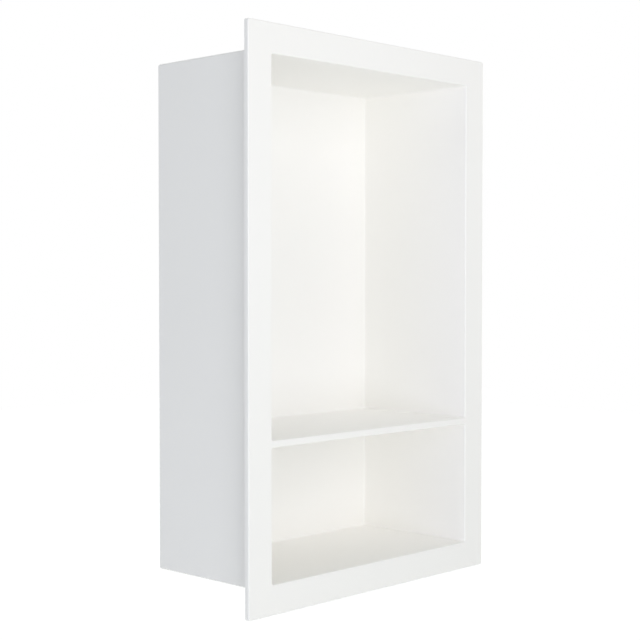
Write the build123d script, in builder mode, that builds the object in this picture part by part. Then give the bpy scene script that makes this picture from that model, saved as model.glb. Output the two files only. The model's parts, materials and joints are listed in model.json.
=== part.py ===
from build123d import *
import os

# Recessed shower niche insert, moulded in one piece from white plastic.
# An open box sits in a cut-out in the wall, and the flange round its mouth lies on the finished wall.
# One fixed shelf divides the box into a tall upper compartment and a low lower one.
#
# Frame: the origin is the centre of the flange's back face, which is the plane of the finished wall.
# +X is right as seen from the room, +Y goes into the wall and +Z is up. Sizes are in millimetres.

# Flange
flange_width = 228.6
flange_height = 355.6
flange_thickness = 3.2
flange_overhang = 14.6  # how far the flange reaches past the body, all round
flange_corner_radius = 1.5
flange_edge_radius = 0.8  # outer edge of the front face

# Body, the box behind the wall's face
overall_depth = 100.0  # flange's front face to the back of the body
side_wall = 5.0  # left and right walls at the mouth
end_wall = 4.0  # top and bottom walls at the mouth
back_wall = 6.0
body_edge_radius = 1.5
root_radius = 1.0  # inside corner between the body and the flange's back face

# Compartments and the shelf between them
lower_height = 82.8  # clear height under the shelf at the mouth
shelf_thickness = 4.4  # at the shelf's front edge
inner_edge_radius = 1.5
mouth_edge_radius = 0.8

# Draft that lets the moulding leave its tool, in degrees
draft_angle = 0.2

# Sizes that follow from the ones above
body_width = flange_width - 2 * flange_overhang
body_height = flange_height - 2 * flange_overhang
body_depth = overall_depth - flange_thickness
opening_width = body_width - 2 * side_wall
opening_height = body_height - 2 * end_wall
inner_depth = overall_depth - back_wall
upper_height = opening_height - lower_height - shelf_thickness
lower_middle = (lower_height - opening_height) / 2
upper_middle = (opening_height - upper_height) / 2

# Both planes face the room, with X to the right and Z up
wall_plane = Plane.XZ
front_plane = wall_plane.offset(flange_thickness)

with BuildPart() as niche_insert:
    # Flange, a flat plate on the finished wall
    with BuildSketch(wall_plane):
        RectangleRounded(flange_width, flange_height, flange_corner_radius)
    extrude(amount=flange_thickness)

    # Body, which its draft narrows into the wall
    with BuildSketch(wall_plane):
        Rectangle(body_width, body_height)
    extrude(amount=-body_depth)
    body_sides = niche_insert.faces(Select.LAST).filter_by(Axis.Y, reverse=True)
    draft(body_sides, -wall_plane, draft_angle)

    # Compartments, cut from the front so that the shelf stays between them, and widened towards the room
    with BuildSketch(front_plane):
        with Locations((0, upper_middle)):
            Rectangle(opening_width, upper_height)
        with Locations((0, lower_middle)):
            Rectangle(opening_width, lower_height)
    extrude(amount=-inner_depth, mode=Mode.SUBTRACT)
    compartment_sides = niche_insert.faces(Select.LAST).filter_by(Axis.Y, reverse=True)
    draft(compartment_sides, front_plane, draft_angle)

    # Corners along the walls and round the backs, in order of their depth
    *_, inner_corners, outer_corners, inner_back, outer_back = niche_insert.edges().group_by(Axis.Y)
    fillet(inner_corners + inner_back, inner_edge_radius)
    fillet(outer_corners + outer_back, body_edge_radius)

    # Edges of the flange: the mouths, the outer rim and the root of the body
    flange_front, flange_back = niche_insert.faces().filter_by(Axis.Y).sort_by(Axis.Y)[:2]
    fillet(flange_front.inner_wires().edges(), mouth_edge_radius)
    fillet(flange_front.outer_wire().edges(), flange_edge_radius)
    fillet(flange_back.inner_wires().edges(), root_radius)

niche_insert.part.label = "niche_insert"

os.makedirs("parts", exist_ok=True)
export_step(niche_insert.part, "parts/niche_insert.step")
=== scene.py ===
import json
import math
import bpy
import bmesh
from mathutils import Matrix, Vector


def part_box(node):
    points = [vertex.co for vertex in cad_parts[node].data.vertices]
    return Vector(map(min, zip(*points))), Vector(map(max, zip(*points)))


# Shower niche insert, one white plastic moulding, shown in a white studio.
# The frame is the solid's own: metres, +X right as seen from the room, +Y into the wall, +Z up.

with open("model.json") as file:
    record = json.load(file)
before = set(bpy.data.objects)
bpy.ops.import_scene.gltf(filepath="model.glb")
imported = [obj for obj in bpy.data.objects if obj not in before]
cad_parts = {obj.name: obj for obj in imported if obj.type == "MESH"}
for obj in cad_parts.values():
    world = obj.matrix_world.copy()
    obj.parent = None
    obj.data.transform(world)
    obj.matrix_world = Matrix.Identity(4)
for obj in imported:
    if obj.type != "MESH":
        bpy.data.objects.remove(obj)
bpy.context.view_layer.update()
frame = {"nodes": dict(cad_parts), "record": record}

# The insert, and where its walls stand, from the upper compartment in its record
insert = frame["nodes"]["niche_insert"]
lowest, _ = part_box("niche_insert")
front_centre = Vector((0, lowest.y, 0))
compartments = {row["name"]: row["box_m"] for row in frame["record"]["physics"]["openings"]}
_, inner_corner = compartments["upper_compartment"]
to_wall_middle = 0.0035  # from a compartment's box to about the middle of the wall round it
wall_middle = Vector(inner_corner) + Vector((to_wall_middle, to_wall_middle, to_wall_middle))
wall_face = -0.0002  # the finished wall, a hair in front of the flange's back, which lies at 0

# White plastic, with scales in features per metre and heights in metres
plastic_white = (0.962, 0.955, 0.938, 1)
plastic_shade = (0.948, 0.941, 0.922, 1)  # the darker end of a faint drift in tone
plastic_index = 1.52
satin_roughness = 0.50  # the faces that show in the room
matt_roughness = 0.62  # the faces that the wall hides
drift_scale = 9.0
drift_detail = 2
drift_middle = 0.5
gloss_drift = 0.10
ripple_scale = 380.0
ripple_detail = 1
ripple_height = 0.000018
grain_scale = 2600.0
grain_detail = 2
grain_height = 0.000010

# Camera, found from the straight edges of the insert
lens_mm = 77.26
sensor_mm = 36.0
camera_turn = math.radians(46.56)  # how far the camera stands to the left of straight ahead
camera_tilt = math.radians(1.67)  # how far it looks down
camera_distance = 0.8904
aim_left = 0.0365  # the aim point, from the centre of the flange's front face
aim_down = 0.0015

# Studio
floor_drop = 1.20  # floor below the flange, for the height at which such an insert is fitted
floor_level = lowest.z - floor_drop
floor_half_size = 12.0
floor_colour = (0.90, 0.90, 0.90, 1)
floor_lift = 0.55  # what the camera sees on top of the light that the floor gets
lit_floor = Vector((-0.6, -0.5, floor_level))  # the patch of floor that throws a lamp's light up
lit_floor_lamp_height = 0.5
backdrop_colour = (1, 1, 1, 1)
backdrop_strength = 1.0
ambient_colour = (0.968, 1, 0.974, 1)
ambient_strength = 0.563
light_bounces = 32  # a white box passes light round many times before it leaves


class Shade:
    """An output of a shader node. Sums on it add Math nodes, and node() adds any other kind."""

    def __init__(self, tree, socket=None):
        self.tree = tree
        self.socket = socket

    def node(self, kind, settings=None, inputs=None, output=0):
        """One output of a new node in the same tree, with its settings made before its inputs."""
        made = self.tree.nodes.new(kind)
        for name, value in (settings or {}).items():
            setattr(made, name, value)
        for name, value in (inputs or {}).items():
            if isinstance(value, Shade):
                self.tree.links.new(value.socket, made.inputs[name])
            else:
                made.inputs[name].default_value = value
        return Shade(self.tree, made.outputs[output] if made.outputs else None)

    def output(self, name):
        """Another output of the same node."""
        return Shade(self.tree, self.socket.node.outputs[name])

    def maths(self, operation, first, second=0):
        """The result of a new Math node, whose two values are numbers or Shades."""
        return self.node("ShaderNodeMath", {"operation": operation}, {0: first, 1: second})

    def __add__(self, other):
        return self.maths("ADD", self, other)

    def __radd__(self, other):
        return self.maths("ADD", other, self)

    def __sub__(self, other):
        return self.maths("SUBTRACT", self, other)

    def __rsub__(self, other):
        return self.maths("SUBTRACT", other, self)

    def __mul__(self, other):
        return self.maths("MULTIPLY", self, other)

    def __lt__(self, other):
        return self.maths("LESS_THAN", self, other)

    def __gt__(self, other):
        return self.maths("GREATER_THAN", self, other)

    def __abs__(self):
        return self.maths("ABSOLUTE", self)


def empty_tree(owner):
    """The cleared node tree of a material or world, as a Shade to add nodes to."""
    owner.use_nodes = True
    owner.node_tree.nodes.clear()
    return Shade(owner.node_tree)


def noise(place, scale, detail):
    """Cloudy noise from 0 to 1."""
    return place.node("ShaderNodeTexNoise", inputs={"Vector": place, "Scale": scale, "Detail": detail})


def mixed_colour(share, first, second):
    """The first colour where share is 0 and the second where it is 1."""
    # A Mix node's sockets go by number, because those for numbers and for colours have the same names
    return share.node("ShaderNodeMix", {"data_type": "RGBA"}, {0: share, 6: first, 7: second}, output=2)


def behind_the_wall(place):
    """1 on the outside of the body and on the flange's back, and 0 on the faces that show in the room."""
    across = place.node("ShaderNodeSeparateXYZ", inputs={"Vector": place})
    inward = across.output("Y")
    upward = across.output("Z")
    inside = (abs(across) < wall_middle.x) * (abs(upward) < wall_middle.z) * (inward < wall_middle.y)
    return (1 - inside) * (inward > wall_face)


def moulded_plastic():
    """Satin white plastic. Tone and gloss drift a little, over a ripple and the fine grain of its tool."""
    material = bpy.data.materials.new("white_moulded_plastic")
    tree = empty_tree(material)
    place = tree.node("ShaderNodeTexCoord", output="Object")
    drift = noise(place, drift_scale, drift_detail)
    hidden = behind_the_wall(place)
    finish = satin_roughness + hidden * (matt_roughness - satin_roughness)
    ripple = noise(place, ripple_scale, ripple_detail) * ripple_height
    grain = noise(place, grain_scale, grain_detail) * grain_height * (1 + hidden)
    surface = tree.node(
        "ShaderNodeBsdfPrincipled",
        inputs={
            "Base Color": mixed_colour(drift, plastic_white, plastic_shade),
            "Roughness": finish + (drift - drift_middle) * gloss_drift,
            "IOR": plastic_index,
            "Normal": tree.node("ShaderNodeBump", inputs={"Height": ripple + grain, "Distance": 1}),
        },
    )
    tree.node("ShaderNodeOutputMaterial", inputs={"Surface": surface})
    return material


def shown_to_camera(lit, shown):
    """The lit shader, or the shown one where the camera sees it, directly, in gloss or through glass."""
    rays = lit.node("ShaderNodeLightPath")
    seen = rays.output("Is Camera Ray") + rays.output("Is Glossy Ray") + rays.output("Is Transmission Ray")
    return lit.node("ShaderNodeMixShader", inputs={0: seen, 1: lit, 2: shown})


def white_floor():
    """White paper that keeps the insert's shadow. The camera sees it lifted to white."""
    material = bpy.data.materials.new("white_floor")
    tree = empty_tree(material)
    paper = tree.node("ShaderNodeBsdfDiffuse", inputs={"Color": floor_colour})
    lift = tree.node("ShaderNodeEmission", inputs={"Strength": floor_lift})
    lifted = tree.node("ShaderNodeAddShader", inputs={0: paper, 1: lift})
    tree.node("ShaderNodeOutputMaterial", inputs={"Surface": shown_to_camera(paper, lifted)})
    return material


def studio_world():
    """Even light from all round, with a backdrop that the camera sees as white."""
    world = bpy.data.worlds.new("white_studio")
    bpy.context.scene.world = world
    tree = empty_tree(world)
    ambient = tree.node(
        "ShaderNodeBackground",
        inputs={"Color": ambient_colour, "Strength": ambient_strength},
    )
    backdrop = tree.node(
        "ShaderNodeBackground",
        inputs={"Color": backdrop_colour, "Strength": backdrop_strength},
    )
    tree.node("ShaderNodeOutputWorld", inputs={"Surface": shown_to_camera(ambient, backdrop)})


def in_scene(name, data):
    """A new object of the scene, for a mesh, a lamp or a camera."""
    made = bpy.data.objects.new(name, data)
    bpy.context.scene.collection.objects.link(made)
    return made


def studio_floor():
    """A wide flat floor below the insert."""
    mesh = bpy.data.meshes.new("studio_floor")
    shape = bmesh.new()
    bmesh.ops.create_grid(shape, x_segments=1, y_segments=1, size=floor_half_size)
    bmesh.ops.translate(shape, verts=shape.verts, vec=(0, 0, floor_level))
    shape.to_mesh(mesh)
    shape.free()
    mesh.materials.append(white_floor())
    floor = in_scene("studio_floor", mesh)


def soft_lamp(name, place, aim, size, power, colour):
    """A square soft box that shines from place towards aim. The camera doesn't see the box itself."""
    data = bpy.data.lights.new(name, "AREA")
    data.shape = "SQUARE"
    data.size = size
    data.energy = power
    data.color = colour
    lamp = in_scene(name, data)
    lamp.location = place
    lamp.rotation_euler = (place - aim).to_track_quat("Z", "Y").to_euler()
    lamp.visible_camera = False


def round_the_insert(turn_degrees, distance, height):
    """A place round the insert, turned to the right of straight ahead and raised from its middle."""
    turn = math.radians(turn_degrees)
    return front_centre + Vector((math.sin(turn) * distance, -math.cos(turn) * distance, height))


def studio_lamps():
    """Five soft boxes. The cool one at the side gives the body's left wall its tint."""
    soft_lamp(
        "left_lamp",
        place=round_the_insert(turn_degrees=-36, distance=1.2, height=-0.125),
        aim=front_centre,
        size=0.5,
        power=3.52,
        colour=(0.941, 0.952, 1),
    )
    soft_lamp(
        "front_lamp",
        place=round_the_insert(turn_degrees=0, distance=0.65, height=0.25),
        aim=round_the_insert(turn_degrees=0, distance=0, height=0.25),
        size=0.4,
        power=1.01,
        colour=(1, 0.944, 0.967),
    )
    soft_lamp(
        "side_lamp",
        place=round_the_insert(turn_degrees=-80, distance=2.0, height=0),
        aim=front_centre,
        size=0.6,
        power=2.77,
        colour=(0.46, 0.48, 1),
    )
    soft_lamp(
        "floor_lamp",
        place=lit_floor + Vector((0, 0, lit_floor_lamp_height)),
        aim=lit_floor,
        size=0.8,
        power=5.37,
        colour=(1, 1, 0.9),
    )
    soft_lamp(
        "back_lamp",
        place=round_the_insert(turn_degrees=158, distance=1.2, height=0.7),
        aim=front_centre,
        size=0.6,
        power=3.6,
        colour=(1, 0.985, 0.96),
    )


def photo_camera():
    """The camera, which looks at the insert from its front left."""
    data = bpy.data.cameras.new("photo_camera")
    data.lens = lens_mm
    data.sensor_width = sensor_mm
    camera = in_scene("photo_camera", data)
    right = Vector((math.cos(camera_turn), -math.sin(camera_turn), 0))
    ahead = Vector((math.sin(camera_turn), math.cos(camera_turn), 0))
    forward = ahead * math.cos(camera_tilt) - Vector((0, 0, math.sin(camera_tilt)))
    up = right.cross(forward)
    aim = front_centre - right * aim_left - up * aim_down
    turned = Matrix((right, up, -forward)).transposed().to_4x4()
    camera.matrix_world = Matrix.Translation(aim - forward * camera_distance) @ turned
    bpy.context.scene.camera = camera


plastic = moulded_plastic()
for slot in insert.material_slots:
    slot.material = plastic

studio_floor()
studio_world()
studio_lamps()
photo_camera()
bpy.context.scene.view_settings.view_transform = "Standard"
bpy.context.scene.cycles.max_bounces = light_bounces
bpy.context.scene.cycles.diffuse_bounces = light_bounces
